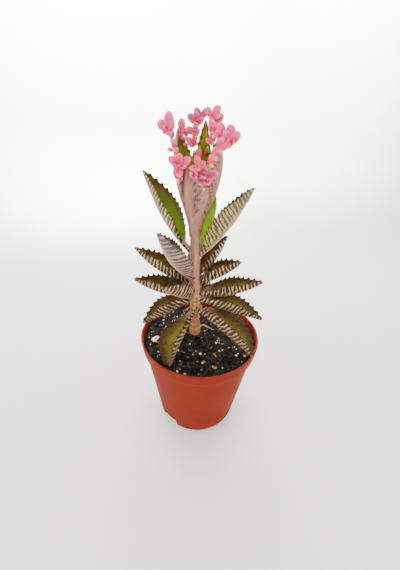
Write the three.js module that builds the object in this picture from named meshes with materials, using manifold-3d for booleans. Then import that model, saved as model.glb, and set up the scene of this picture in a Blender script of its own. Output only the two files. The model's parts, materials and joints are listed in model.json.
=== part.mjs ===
import * as THREE from 'three';
import { mergeVertices } from 'three/addons/utils/BufferGeometryUtils.js';
import Module from 'manifold-3d';

const wasm = await Module();
wasm.setup();

// Potted kalanchoe, in millimetres: pot base centre at the origin, +Z up, -Y the front.

// Pot
const potHeight = 93;
const rimRadius = 52.5;
const collarHeight = 12;
const shoulderRadius = 49;
const baseRadius = 37.5;
const wallThickness = 1.6;
const floorThickness = 2.2;
const potSegments = 48;
const notchAngles = [48, 228];
const notchHeight = 10;
const notchDepth = 6;
const notchWidth = 17;
const drainCircle = 22;
const drainRadius = 3.5;

// Soil and clearances
const soilTop = 88.5;
const gap = 0.3;

// Stem axis: root crown in the soil, leaning slightly to -X as it rises
const crownX = -4.5;
const crownY = 4.2;
const stemLean = -0.028;
const leanStart = 85;
const stemRings = [
  [74, 3.2], [82, 4.0], [89, 4.8], [94, 4.8], [99, 4.4], [110, 4.1], [122, 4.2], [127, 4.6],
  [133, 4.5], [140, 4.1], [160, 4.0], [180, 3.8], [190, 3.1], [202, 2.3], [218, 1.9], [229, 1.6],
];
const leafOffset = 4;
const leafThickness = 2.3;

const colours = {
  pot: 0xa8452f,
  soil: 0x1d1713,
  stem: 0xb98270,
  olive: 0x7d7734,
  green: 0x6e8a24,
  mauve: 0xc8a398,
  pink: 0xf07a9a,
  red: 0xb0564a,
};

const group = new THREE.Group();
group.name = 'potted_kalanchoe';

function radians(degrees) {
  return degrees * Math.PI / 180;
}

function toSolid(geometry) {
  const plain = geometry.index ? geometry.toNonIndexed() : geometry;
  plain.deleteAttribute('normal');
  plain.deleteAttribute('uv');
  const merged = mergeVertices(plain, 1e-3);
  const mesh = new wasm.Mesh({
    numProp: 3,
    vertProperties: new Float32Array(merged.attributes.position.array),
    triVerts: new Uint32Array(merged.index.array),
  });
  return new wasm.Manifold(mesh);
}

function toGeometry(solid) {
  const mesh = solid.getMesh();
  const geometry = new THREE.BufferGeometry();
  geometry.setAttribute('position', new THREE.BufferAttribute(new Float32Array(mesh.vertProperties), 3));
  geometry.setIndex(new THREE.BufferAttribute(new Uint32Array(mesh.triVerts), 1));
  geometry.computeVertexNormals();
  return geometry;
}

function biggest(pieces) {
  return pieces.reduce((best, piece) => (piece.volume() > best.volume() ? piece : best));
}

// One closed body: the biggest piece left after the cuts, with slivers closed up
function oneBody(solid) {
  let geometry = toGeometry(biggest(solid.decompose()).simplify(0.03));
  let pieces = toSolid(geometry).decompose();
  while (pieces.length > 1) {
    geometry = toGeometry(biggest(pieces));
    pieces = toSolid(geometry).decompose();
  }
  return geometry;
}

function addMesh(name, solid, colour, roughness) {
  const material = new THREE.MeshStandardMaterial({ color: colour, roughness, metalness: 0 });
  material.name = name;
  const mesh = new THREE.Mesh(oneBody(solid), material);
  mesh.name = name;
  group.add(mesh);
}

function revolve(profile, segments) {
  const points = profile.map(([radius, height]) => new THREE.Vector2(radius, height));
  const geometry = new THREE.LatheGeometry(points, segments);
  geometry.rotateX(Math.PI / 2);
  return toSolid(geometry);
}

// A closed tube through rings of equal count, fanned shut at both ends
function loft(rings, startPoint, endPoint) {
  const count = rings[0].length;
  const points = [startPoint, ...rings.flat(), endPoint];
  const last = points.length - 1;
  const index = [];
  const at = (ring, step) => 1 + ring * count + (step % count);
  for (let step = 0; step < count; step += 1) {
    index.push(0, at(0, step + 1), at(0, step));
    index.push(last, at(rings.length - 1, step), at(rings.length - 1, step + 1));
  }
  for (let ring = 0; ring < rings.length - 1; ring += 1) {
    for (let step = 0; step < count; step += 1) {
      index.push(at(ring, step), at(ring, step + 1), at(ring + 1, step + 1));
      index.push(at(ring, step), at(ring + 1, step + 1), at(ring + 1, step));
    }
  }
  const geometry = new THREE.BufferGeometry();
  const flat = points.flatMap((point) => [point.x, point.y, point.z]);
  geometry.setAttribute('position', new THREE.BufferAttribute(new Float32Array(flat), 3));
  geometry.setIndex(signedVolume(points, index) < 0 ? reversed(index) : index);
  return toSolid(geometry);
}

function signedVolume(points, index) {
  let volume = 0;
  for (let i = 0; i < index.length; i += 3) {
    const [a, b, c] = [points[index[i]], points[index[i + 1]], points[index[i + 2]]];
    volume += a.dot(new THREE.Vector3().crossVectors(b, c));
  }
  return volume;
}

function reversed(index) {
  const flipped = [];
  for (let i = 0; i < index.length; i += 3) {
    flipped.push(index[i], index[i + 2], index[i + 1]);
  }
  return flipped;
}

function stemCentre(height) {
  return new THREE.Vector3(crownX + stemLean * (height - leanStart), crownY, height);
}

function stemSolid(grow) {
  const sides = 10;
  const rings = stemRings.map(([height, radius]) => {
    const centre = stemCentre(height);
    return Array.from({ length: sides }, (_, side) => {
      const angle = 2 * Math.PI * side / sides;
      const reach = radius + grow;
      return new THREE.Vector3(centre.x + reach * Math.cos(angle), centre.y + reach * Math.sin(angle), height);
    });
  });
  const bottom = stemCentre(stemRings[0][0] - 1 - grow);
  const top = stemCentre(stemRings[stemRings.length - 1][0] + 1.5 + grow);
  return loft(rings, bottom, top);
}

// Half-width along the blade, 0 to 1: a short stalk, a full belly and a pointed tip
function bladeWidth(along, stalk, stalkWidth, belly) {
  if (along <= stalk) {
    return stalkWidth;
  }
  const t = (along - stalk) / (1 - stalk);
  const neck = stalkWidth * (1 - t) ** 1.5;
  const body = Math.max(Math.sin(Math.PI * t ** belly), 0) ** 0.85 * (1 - 0.15 * t);
  return neck + body * (1 - neck);
}

// One boat-shaped leaf: rise, bend and upright set the arch, vee and curl fold the halves upward
function leafSolid(leaf, grow) {
  const stations = 8;
  const columns = 2;
  const { stalk = 0.06, stalkWidth = 0.22, belly = 0.92, power = 1, roll = 0, upright = 0 } = leaf;
  const azimuth = radians(leaf.azimuth);
  const outward = new THREE.Vector3(Math.cos(azimuth), Math.sin(azimuth), 0);
  const across = new THREE.Vector3(-Math.sin(azimuth), Math.cos(azimuth), 0);
  const up = new THREE.Vector3(0, 0, 1);
  const point = stemCentre(leaf.height).addScaledVector(outward, leafOffset);
  const start = point.clone();
  const rings = [];
  for (let station = 0; station < stations; station += 1) {
    const along = station / stations;
    const lift = upright * Math.max(0, 1 - along / 0.35);
    const rise = radians(leaf.rise + leaf.bend * along ** power + lift);
    const tangent = outward.clone().multiplyScalar(Math.cos(rise)).addScaledVector(up, Math.sin(rise));
    const face = outward.clone().multiplyScalar(-Math.sin(rise)).addScaledVector(up, Math.cos(rise));
    const turn = radians(roll);
    const side = across.clone().multiplyScalar(Math.cos(turn)).addScaledVector(face, Math.sin(turn));
    face.multiplyScalar(Math.cos(turn)).addScaledVector(across, -Math.sin(turn));
    const width = leaf.width * bladeWidth(along, stalk, stalkWidth, belly) + grow;
    const upper = [];
    const lower = [];
    for (let column = -columns; column <= columns; column += 1) {
      const part = Math.abs(column) / columns;
      const sign = Math.sign(column);
      const middle = radians(leaf.vee + leaf.curl * part / 2);
      const edge = radians(leaf.vee + leaf.curl * part);
      const centre = point.clone();
      centre.addScaledVector(side, sign * part * width * Math.cos(middle));
      centre.addScaledVector(face, part * width * Math.sin(middle));
      const normal = side.clone().multiplyScalar(-sign * Math.sin(edge));
      normal.addScaledVector(face, sign === 0 ? 1 : Math.cos(edge));
      const half = leafThickness / 2 * Math.sqrt(1 - 0.92 * part * part) * (1 - 0.45 * along) + grow;
      upper.push(centre.clone().addScaledVector(normal, half));
      lower.unshift(centre.clone().addScaledVector(normal, -half));
    }
    rings.push([...upper, ...lower]);
    point.addScaledVector(tangent, leaf.length / stations);
  }
  return loft(rings, start, point);
}

function ellipsoid(centre, forward, side, face, reach) {
  const geometry = new THREE.SphereGeometry(1, 6, 4);
  const basis = new THREE.Matrix4().makeBasis(
    side.clone().multiplyScalar(reach[1]),
    forward.clone().multiplyScalar(reach[0]),
    face.clone().multiplyScalar(reach[2]),
  );
  basis.setPosition(centre);
  geometry.applyMatrix4(basis);
  const solid = toSolid(geometry);
  return solid;
}

// A plantlet: fleshy spoon leaves [clock angle, opening, length] round a small base
function plantletSolid(plantlet, grow) {
  const azimuth = radians(plantlet.azimuth);
  const tilt = radians(plantlet.tilt);
  const axis = new THREE.Vector3(
    Math.cos(tilt) * Math.cos(azimuth),
    Math.cos(tilt) * Math.sin(azimuth),
    Math.sin(tilt),
  );
  const level = new THREE.Vector3(-Math.sin(azimuth), Math.cos(azimuth), 0);
  const upright = new THREE.Vector3().crossVectors(axis, level);
  const base = new THREE.Vector3(...plantlet.at);
  const size = Math.max(...plantlet.spoons.map((spoon) => spoon[2]));
  const bead = 0.17 * size + 0.25 + grow;
  let solid = ellipsoid(base, axis, upright, level, [bead, bead, bead]);
  for (const [clock, opening, length] of plantlet.spoons) {
    const turn = radians(clock);
    const open = radians(opening);
    const radial = level.clone().multiplyScalar(Math.cos(turn)).addScaledVector(upright, Math.sin(turn));
    const forward = axis.clone().multiplyScalar(Math.cos(open)).addScaledVector(radial, Math.sin(open));
    const face = axis.clone().multiplyScalar(Math.sin(open)).addScaledVector(radial, -Math.cos(open));
    const side = new THREE.Vector3().crossVectors(forward, face);
    const centre = base.clone().addScaledVector(forward, 0.52 * length);
    const reach = [0.5 * length + grow, 0.33 * length + grow, 0.16 * length + grow];
    solid = solid.add(ellipsoid(centre, forward, side, face, reach));
  }
  return solid;
}

// Pot: tapered wall, stepped collar, rounded base edge, two drain notches and four drain holes
const shoulderHeight = potHeight - collarHeight;
const outerProfile = [
  [0, 0], [32.5, 0], [35.6, 1], [37.4, 3.4], [38.3, 7], [shoulderRadius, shoulderHeight],
  [rimRadius - 1.2, shoulderHeight + 0.8], [rimRadius - 0.3, potHeight - 2.2], [rimRadius, potHeight - 1],
  [rimRadius - 0.5, potHeight], [0, potHeight],
];
const cavityTop = potHeight + 3;
const cavityProfile = [
  [0, floorThickness], [baseRadius - 5, floorThickness], [36.2, 4.6], [36.8, 7.5],
  [shoulderRadius - wallThickness, shoulderHeight - 0.6], [rimRadius - 2.8, shoulderHeight + 1.6],
  [rimRadius - 1.9, potHeight], [rimRadius - 1.8, cavityTop], [0, cavityTop],
];

function notchSolid(angle, grow) {
  const width = notchWidth + 2 * grow;
  const geometry = new THREE.BoxGeometry(20, width, 20);
  geometry.rotateY(radians(-24));
  const depth = notchDepth + grow;
  geometry.translate(baseRadius + 13.2 - depth, 0, notchHeight + grow - 12.6);
  geometry.rotateZ(radians(angle));
  return toSolid(geometry);
}

let outer = revolve(outerProfile, potSegments);
let cavity = revolve(cavityProfile, potSegments);
for (const angle of notchAngles) {
  outer = outer.subtract(notchSolid(angle, 0));
  cavity = cavity.subtract(notchSolid(angle, wallThickness));
}
let pot = outer.subtract(cavity);
for (let hole = 0; hole < 4; hole += 1) {
  const drain = new THREE.CylinderGeometry(drainRadius, drainRadius, 10, 14);
  drain.rotateX(Math.PI / 2);
  const angle = radians(72 + 90 * hole);
  drain.translate(drainCircle * Math.cos(angle), drainCircle * Math.sin(angle), 0);
  pot = pot.subtract(toSolid(drain));
}
addMesh('pot', pot, colours.pot, 0.55);

// Soil: fills the pot to a shallow uneven crown, with a socket round the stem's foot
const soilProfile = [
  [0, floorThickness + gap], [32.2, floorThickness + gap], [35.8, 4.9], [36.4, 7.6],
  [shoulderRadius - wallThickness - 0.35, shoulderHeight - 0.7], [49.2, 82.6], [49.6, 86.8],
  [49, soilTop - 1.2], [44, soilTop - 0.4], [34, soilTop - 0.9], [20, soilTop + 0.1], [0, soilTop + 0.4],
];
let soil = revolve(soilProfile, 32);
for (const angle of notchAngles) {
  soil = soil.subtract(notchSolid(angle, wallThickness + gap));
}
soil = soil.subtract(stemSolid(gap));
addMesh('soil', soil, colours.soil, 1);

addMesh('stem', stemSolid(0), colours.stem, 0.7);

// Leaves, lowest tier first; angles in degrees, lengths in millimetres
const leaves = [
  { name: 'leaf_tier1_front_left', height: 113, azimuth: 247, rise: -15, bend: -32, length: 51, width: 18.5,
    vee: 33, curl: 35, roll: 28, belly: 1.3, slot: 'olive' },
  { name: 'leaf_tier1_front_right', height: 116, azimuth: -42, rise: -8, bend: -10, length: 62, width: 19,
    vee: 32, curl: 35, roll: -20, belly: 1, slot: 'olive' },
  { name: 'leaf_tier1_back_right', height: 117, azimuth: 58, rise: -5, bend: 15, length: 42, width: 12,
    vee: 35, curl: 35, slot: 'olive' },
  { name: 'leaf_tier1_back_left', height: 118, azimuth: 122, rise: -5, bend: 15, length: 44, width: 12,
    vee: 35, curl: 35, slot: 'olive' },
  { name: 'leaf_tier2_left', height: 126, azimuth: 200, rise: -26, bend: 8, length: 46, width: 15,
    vee: 38, curl: 35, roll: 10, slot: 'olive' },
  { name: 'leaf_tier2_right', height: 126, azimuth: -22, rise: -7, bend: 8, length: 56, width: 15,
    vee: 38, curl: 35, roll: -6, slot: 'olive' },
  { name: 'leaf_tier3_front_left', height: 128, azimuth: 228, rise: 21, bend: 28, length: 41, width: 16,
    vee: 42, curl: 35, slot: 'olive' },
  { name: 'leaf_tier3_left', height: 131, azimuth: 194, rise: -1, bend: 45, length: 51, width: 15,
    vee: 35, curl: 35, slot: 'olive' },
  { name: 'leaf_tier3_right', height: 131, azimuth: -17, rise: 3, bend: 42, length: 57, width: 15,
    vee: 35, curl: 35, slot: 'olive' },
  { name: 'leaf_tier3_back_right', height: 135, azimuth: 44, rise: 5, bend: 20, length: 26, width: 9,
    vee: 35, curl: 35, slot: 'olive' },
  { name: 'leaf_tier4_left', height: 141, azimuth: 182, rise: 13, bend: 42, length: 55, width: 14.5,
    vee: 35, curl: 35, slot: 'olive' },
  { name: 'leaf_tier4_right', height: 142, azimuth: -10, rise: 18, bend: 34, length: 41, width: 14,
    vee: 35, curl: 35, slot: 'olive' },
  { name: 'leaf_tier4_back', height: 138, azimuth: 100, rise: 15, bend: 20, length: 36, width: 11,
    vee: 35, curl: 35, slot: 'olive' },
  { name: 'leaf_tier5_front_left', height: 146, azimuth: 218, rise: 33, bend: 45, length: 55, width: 18,
    vee: 34, curl: 35, roll: -14, stalk: 0.1, slot: 'mauve' },
  { name: 'leaf_tier5_back_right', height: 148, azimuth: 22, rise: 36, bend: 35, length: 40, width: 12,
    vee: 35, curl: 40, slot: 'olive' },
  { name: 'leaf_tier6_left', height: 167, azimuth: 178, rise: 46, bend: 28, length: 69, width: 16,
    vee: 30, curl: 35, roll: -14, stalk: 0.16, slot: 'green' },
  { name: 'leaf_tier6_right', height: 165, azimuth: -13, rise: 43, bend: 28, length: 66, width: 17,
    vee: 32, curl: 38, stalk: 0.12, slot: 'green' },
  { name: 'leaf_tier6_back', height: 165, azimuth: 42, rise: 69, bend: 12, length: 54, width: 15,
    vee: 12, curl: 30, stalk: 0.1, slot: 'green' },
  { name: 'leaf_top_left', height: 180, azimuth: 154, rise: 63, bend: 48, power: 2.2, upright: 16, length: 74,
    width: 15.5, vee: 24, curl: 26, roll: 4, stalk: 0.2, stalkWidth: 0.3, belly: 1.35, slot: 'mauve' },
  { name: 'leaf_top_back', height: 182, azimuth: 66, rise: 73, bend: 35, power: 2, length: 76, width: 9.5,
    vee: 20, curl: 40, stalk: 0.16, stalkWidth: 0.35, belly: 1, slot: 'mauve' },
  { name: 'leaf_top_right', height: 180, azimuth: -2, rise: 60, bend: 56, power: 2.2, upright: 26, length: 70,
    width: 16.5, vee: 28, curl: 30, roll: -8, stalk: 0.24, stalkWidth: 0.28, belly: 1.4, slot: 'mauve' },
  { name: 'leaf_top_front', height: 181, azimuth: 209, rise: 66, bend: 28, upright: 20, length: 51,
    width: 18.5, vee: 18, curl: 24, roll: 20, stalk: 0.2, stalkWidth: 0.3, belly: 1.25, slot: 'mauve' },
];

// Plantlets along the top whorl's margins: base point, rosette axis, spoon leaves
const plantlets = [
  { name: 'plantlet_left_1', at: [-25, 1, 249], azimuth: 250, tilt: 40,
    spoons: [[95, 62, 10], [140, 78, 10.5], [55, 60, 6], [300, 60, 6.5]] },
  { name: 'plantlet_left_2', at: [-18.2, 12, 248.5], azimuth: 265, tilt: 35,
    spoons: [[95, 65, 7.5], [10, 55, 4], [250, 50, 4]] },
  { name: 'plantlet_left_3', at: [-15.9, 12, 245.7], azimuth: 265, tilt: 35, spoons: [[70, 50, 4.2], [220, 50, 3.5]] },
  { name: 'plantlet_left_4', at: [-14.5, 12, 242], azimuth: 265, tilt: 35, spoons: [[70, 50, 3.5], [220, 50, 3]] },
  { name: 'plantlet_left_5', at: [-22.2, 0, 239], azimuth: 265, tilt: 30, spoons: [[90, 70, 5.2], [200, 60, 3.5]] },
  { name: 'plantlet_left_6', at: [-20.9, -1, 235], azimuth: 265, tilt: 30, spoons: [[90, 70, 4.6], [10, 60, 3.2]] },
  { name: 'plantlet_left_7', at: [-23.7, 0, 244.2], azimuth: 250, tilt: 30, spoons: [[80, 60, 4.5]] },
  { name: 'plantlet_front_1', at: [-18.2, -6, 230.2], azimuth: 275, tilt: 35,
    spoons: [[150, 72, 8], [30, 72, 8], [90, 45, 5.5], [270, 75, 7]] },
  { name: 'plantlet_front_2', at: [-19.2, -5, 221.5], azimuth: 262, tilt: 20, spoons: [[95, 65, 8], [20, 50, 4]] },
  { name: 'plantlet_front_3', at: [-6.5, -9, 230], azimuth: 270, tilt: 30,
    spoons: [[100, 50, 6], [30, 60, 5], [200, 60, 5]] },
  { name: 'plantlet_front_4', at: [-3.1, -6, 224], azimuth: 280, tilt: 40,
    spoons: [[172, 72, 8.5], [8, 72, 8.5], [60, 50, 6], [300, 70, 5.5]] },
  { name: 'plantlet_front_5', at: [-10.4, -10, 227], azimuth: 262, tilt: 20, spoons: [[90, 60, 3.2]] },
  { name: 'plantlet_front_6', at: [-7.5, -9.4, 224.6], azimuth: 262, tilt: 20, spoons: [[90, 60, 3.2]] },
  { name: 'plantlet_front_7', at: [-4.3, -7, 220.6], azimuth: 262, tilt: 20, spoons: [[90, 60, 3.4]] },
  { name: 'plantlet_front_8', at: [-2.5, -6, 217.4], azimuth: 262, tilt: 20, spoons: [[90, 60, 3.2]] },
  { name: 'plantlet_back_1', at: [-8.3, 12, 253.6], azimuth: 250, tilt: 35,
    spoons: [[150, 62, 6.8], [100, 50, 6], [20, 60, 5]] },
  { name: 'plantlet_back_2', at: [-6.2, 13, 256.1], azimuth: 265, tilt: 35, spoons: [[125, 65, 7], [55, 62, 6]] },
  { name: 'plantlet_back_3', at: [-9, 12, 247.7], azimuth: 255, tilt: 35,
    spoons: [[160, 65, 7], [95, 55, 5.5], [30, 50, 3.5]] },
  { name: 'plantlet_back_4', at: [-9.2, 12, 242.8], azimuth: 255, tilt: 35,
    spoons: [[175, 62, 6], [240, 60, 4.5], [100, 50, 4.5]] },
  { name: 'plantlet_back_5', at: [0.5, 13, 257], azimuth: 275, tilt: 35,
    spoons: [[125, 60, 6], [50, 66, 8], [0, 60, 5]] },
  { name: 'plantlet_back_6', at: [2, 12, 254], azimuth: 285, tilt: 35, spoons: [[35, 62, 6.8], [200, 55, 4.5]] },
  { name: 'plantlet_right_1', at: [2.2, 4, 247.4], azimuth: 275, tilt: 30, spoons: [[105, 66, 6.8], [60, 60, 6.5]] },
  { name: 'plantlet_right_2', at: [2.5, 3, 243.2], azimuth: 270, tilt: 30, spoons: [[100, 66, 5.8], [170, 60, 4.5]] },
  { name: 'plantlet_right_3', at: [6.9, 0, 245.7], azimuth: 275, tilt: 30, spoons: [[93, 70, 9.5], [130, 55, 7]] },
  { name: 'plantlet_right_4', at: [7, -3, 239.5], azimuth: 275, tilt: 25, spoons: [[90, 68, 6.5], [40, 60, 4.5]] },
  { name: 'plantlet_right_5', at: [4.1, -4, 235.5], azimuth: 270, tilt: 25, spoons: [[92, 68, 5.6]] },
  { name: 'plantlet_right_6', at: [1.8, -5, 231.5], azimuth: 270, tilt: 25, spoons: [[92, 68, 5.4]] },
  { name: 'plantlet_right_7', at: [12.1, 0, 243], azimuth: 285, tilt: 35,
    spoons: [[84, 70, 11.5], [118, 62, 8], [45, 62, 8.5], [200, 50, 4]] },
  { name: 'shoot_1', at: [-10, -1, 234], azimuth: 200, tilt: 60, spoons: [[90, 40, 4.5], [260, 40, 4]] },
  { name: 'shoot_2', at: [-6.8, -1, 232.6], azimuth: 265, tilt: 70, spoons: [[80, 30, 6], [250, 25, 5]] },
  { name: 'shoot_3', at: [-3.9, 4, 235], azimuth: 90, tilt: 75, spoons: [[0, 25, 6], [180, 25, 6]] },
];

// Each later piece is cut back from the ones before it, so that a thin gap stays between them
const taken = [{ grown: stemSolid(gap) }];

function placeClear(solid, grown) {
  let clear = solid;
  const box = solid.boundingBox();
  for (const other of taken) {
    other.box = other.box || other.grown.boundingBox();
    const apart = [0, 1, 2].some((k) => box.min[k] > other.box.max[k] || box.max[k] < other.box.min[k]);
    if (!apart) {
      clear = clear.subtract(other.grown);
    }
  }
  taken.push({ grown });
  return clear;
}

for (const leaf of leaves) {
  const solid = placeClear(leafSolid(leaf, 0), leafSolid(leaf, gap));
  addMesh(leaf.name, solid, colours[leaf.slot], 0.5);
}
for (const plantlet of plantlets) {
  const colour = plantlet.name.startsWith('shoot') ? colours.red : colours.pink;
  const solid = placeClear(plantletSolid(plantlet, 0), plantletSolid(plantlet, gap));
  addMesh(plantlet.name, solid, colour, 0.45);
}

export default group;
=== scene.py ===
import json
import math
import random

import bmesh
import bpy
import numpy as np
from mathutils import Matrix, Vector, noise

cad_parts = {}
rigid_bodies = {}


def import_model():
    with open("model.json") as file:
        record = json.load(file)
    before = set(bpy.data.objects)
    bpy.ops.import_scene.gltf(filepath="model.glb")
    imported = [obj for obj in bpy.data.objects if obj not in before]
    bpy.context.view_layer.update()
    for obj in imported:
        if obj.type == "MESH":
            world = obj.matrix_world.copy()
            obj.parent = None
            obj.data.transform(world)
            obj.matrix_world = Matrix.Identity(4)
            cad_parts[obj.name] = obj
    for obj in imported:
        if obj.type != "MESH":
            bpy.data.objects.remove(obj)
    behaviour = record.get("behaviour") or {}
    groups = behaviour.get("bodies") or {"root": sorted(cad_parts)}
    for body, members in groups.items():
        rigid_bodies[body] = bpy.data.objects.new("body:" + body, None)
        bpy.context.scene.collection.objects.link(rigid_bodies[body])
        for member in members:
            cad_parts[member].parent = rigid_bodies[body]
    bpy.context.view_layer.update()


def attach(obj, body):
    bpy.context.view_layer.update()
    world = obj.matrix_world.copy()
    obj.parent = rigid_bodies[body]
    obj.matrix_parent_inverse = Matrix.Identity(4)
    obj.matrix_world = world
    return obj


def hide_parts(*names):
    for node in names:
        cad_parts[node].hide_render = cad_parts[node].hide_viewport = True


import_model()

mm = 0.001
sceneObjects = bpy.context.scene.collection.objects


# ---- helpers

def toLinear(hexColour):
    # sRGB hex to the linear values that the shaders want
    parts = [int(hexColour[i:i + 2], 16) / 255 for i in (1, 3, 5)]
    return [c / 12.92 if c <= 0.04045 else ((c + 0.055) / 1.055) ** 2.4 for c in parts] + [1.0]


def addNode(tree, kind, inputs=None, **settings):
    # one node: settings are its options; inputs are nodes, sockets, hex colours or plain values
    node = tree.nodes.new("ShaderNode" + kind)
    if kind == "Mix":
        node.data_type = "RGBA"
    for key, value in settings.items():
        setattr(node, key, value)
    for key, value in (inputs or {}).items():
        if isinstance(value, bpy.types.Node):
            # a colour mix gives its result at its third output
            value = value.outputs[2 if value.bl_idname == "ShaderNodeMix" else 0]
        if isinstance(value, str):
            value = toLinear(value)
        if isinstance(value, bpy.types.NodeSocket):
            tree.links.new(value, node.inputs[key])
        else:
            node.inputs[key].default_value = value
    return node


def newMaterial(name):
    # an empty material, its node tree and the socket that gives object coordinates in it
    material = bpy.data.materials.new(name)
    material.use_nodes = True
    tree = material.node_tree
    tree.nodes.clear()
    return material, tree, addNode(tree, "TexCoord").outputs["Object"]


def makePiece(name, points, faces, material, replaced=(), attributes=None, smooth=True):
    mesh = bpy.data.meshes.new(name)
    mesh.from_pydata([tuple(p) for p in points], [], [tuple(int(i) for i in f) for f in faces])
    mesh.validate()
    for key, values in (attributes or {}).items():
        layer = mesh.attributes.new(key, "FLOAT", "POINT")
        layer.data.foreach_set("value", np.asarray(values, dtype=np.float32))
    mesh.polygons.foreach_set("use_smooth", [smooth] * len(mesh.polygons))
    mesh.materials.append(material)
    piece = bpy.data.objects.new(name, mesh)
    sceneObjects.link(piece)
    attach(piece, "root")
    if replaced:
        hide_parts(*replaced)


def tubeFaces(ringCount, ringSize, turned=False, caps=2):
    # quads between rings of points that follow each other, then triangles that close the first ring
    # and the last one to the points that come after the rings
    faces = []
    for ring in range(ringCount - 1):
        for step in range(ringSize):
            a = ring * ringSize + step
            b = ring * ringSize + (step + 1) % ringSize
            faces.append((a, b, b + ringSize, a + ringSize))
    for cap, start in enumerate((0, (ringCount - 1) * ringSize)[:caps]):
        for step in range(ringSize):
            ends = [start + step, start + (step + 1) % ringSize]
            faces.append((ringCount * ringSize + cap, *(ends if cap else reversed(ends))))
    return [tuple(reversed(f)) for f in faces] if turned else faces


def smoothStep(low, high, value):
    t = np.clip((value - low) / (high - low), 0, 1)
    return t * t * (3 - 2 * t)


def levelPair(azimuth):
    # the level direction at an azimuth, and the one square to it
    return (np.array([math.cos(azimuth), math.sin(azimuth), 0]),
            np.array([-math.sin(azimuth), math.cos(azimuth), 0]))


# ---- camera, light and backdrop

camera = {"place": (-1.9, -185.1, 248.6), "lookDown": 30.0, "roll": 2.66, "lens": 16.55}
print("camera and stage")
cameraData = bpy.data.cameras.new("camera")
cameraData.lens = camera["lens"]
cameraData.sensor_width = 36
cameraData.clip_start = 0.01
cameraObject = bpy.data.objects.new("camera", cameraData)
cameraObject.matrix_world = (
    Matrix.Translation(Vector(camera["place"]) * mm)
    @ Matrix.Rotation(math.radians(90 - camera["lookDown"]), 4, "X")
    @ Matrix.Rotation(math.radians(camera["roll"]), 4, "Z")
)
sceneObjects.link(cameraObject)
bpy.context.scene.camera = cameraObject

backdrop = {"floorRadius": 560, "sweep": 260, "height": 1500, "sides": 96, "colour": "#EDEDEB"}


def makeBackdrop():
    # one seamless round sheet: flat floor, a quarter-round sweep, then a wall all round
    outline = [(backdrop["floorRadius"] * share, 0.0) for share in (0.1, 0.3, 0.6, 1.0)]
    for step in range(1, 17):
        angle = math.radians(90 * step / 16)
        outline.append((backdrop["floorRadius"] + backdrop["sweep"] * math.sin(angle),
                        backdrop["sweep"] * (1 - math.cos(angle))))
    outline.append((backdrop["floorRadius"] + backdrop["sweep"], backdrop["height"]))
    sides = backdrop["sides"]
    points = []
    for radius, z in outline:
        for side in range(sides):
            angle = 2 * math.pi * side / sides
            points.append((radius * math.cos(angle) * mm, radius * math.sin(angle) * mm, z * mm))
    points.append((0, 0, 0))
    faces = tubeFaces(len(outline), sides, turned=True, caps=1)
    mesh = bpy.data.meshes.new("backdrop")
    mesh.from_pydata(points, [], faces)
    mesh.polygons.foreach_set("use_smooth", [True] * len(mesh.polygons))
    material, tree, _ = newMaterial("mattePaper")
    paper = addNode(tree, "BsdfPrincipled", {
        "Base Color": backdrop["colour"], "Roughness": 0.9, "Specular IOR Level": 0.1})
    addNode(tree, "OutputMaterial", {0: paper})
    mesh.materials.append(material)
    sheet = bpy.data.objects.new("backdrop", mesh)
    sceneObjects.link(sheet)


makeBackdrop()

lights = {
    "keyLeft": {"place": (-430, -330, 820), "aim": (0, 0, 120), "size": 420, "power": 3.0},
    "fillRight": {"place": (480, -260, 420), "aim": (0, 0, 120), "size": 420, "power": 0.05},
    "topSoft": {"place": (0, 60, 900), "aim": (0, 0, 0), "size": 560, "power": 3.6},
    "wallLeft": {"place": (-160, 180, 1350), "aim": (-330, 820, 400), "size": 200, "power": 1050.0,
                 "cone": 54},
    "wallRight": {"place": (200, 180, 1350), "aim": (330, 840, 600), "size": 200, "power": 820.0,
                  "cone": 50},
}
for lightName, light in lights.items():
    data = bpy.data.lights.new(lightName, "SPOT" if "cone" in light else "AREA")
    if "cone" in light:
        data.spot_size = math.radians(light["cone"])
        data.spot_blend = 1.0
        data.shadow_soft_size = light["size"] / 2 * mm
    else:
        data.shape = "DISK"
        data.size = light["size"] * mm
    data.energy = light["power"]
    data.color = (1.0, 0.99, 0.975)
    lamp = bpy.data.objects.new(lightName, data)
    lamp.location = Vector(light["place"]) * mm
    beam = Vector(light["aim"]) * mm - lamp.location
    lamp.rotation_euler = beam.to_track_quat("-Z", "Y").to_euler()
    sceneObjects.link(lamp)

world = bpy.data.worlds.new("softRoom")
bpy.context.scene.world = world
world.use_nodes = True
sky = world.node_tree.nodes["Background"].inputs
sky[0].default_value = (0.95, 0.97, 1.0, 1.0)
sky[1].default_value = 0.1


# ---- pot

pot = {
    "height": 93, "rimRadius": 52.5, "collarHeight": 12, "shoulderRadius": 49, "segments": 240,
    "notchAngles": (48, 228), "notchHeight": 11, "notchDepth": 6.2, "notchHalfWidth": 8.2,
    "wall": 1.6,
    "colour": "#6E2518", "deep": "#622014", "pale": "#7C3022", "dust": "#743024",
}


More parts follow.
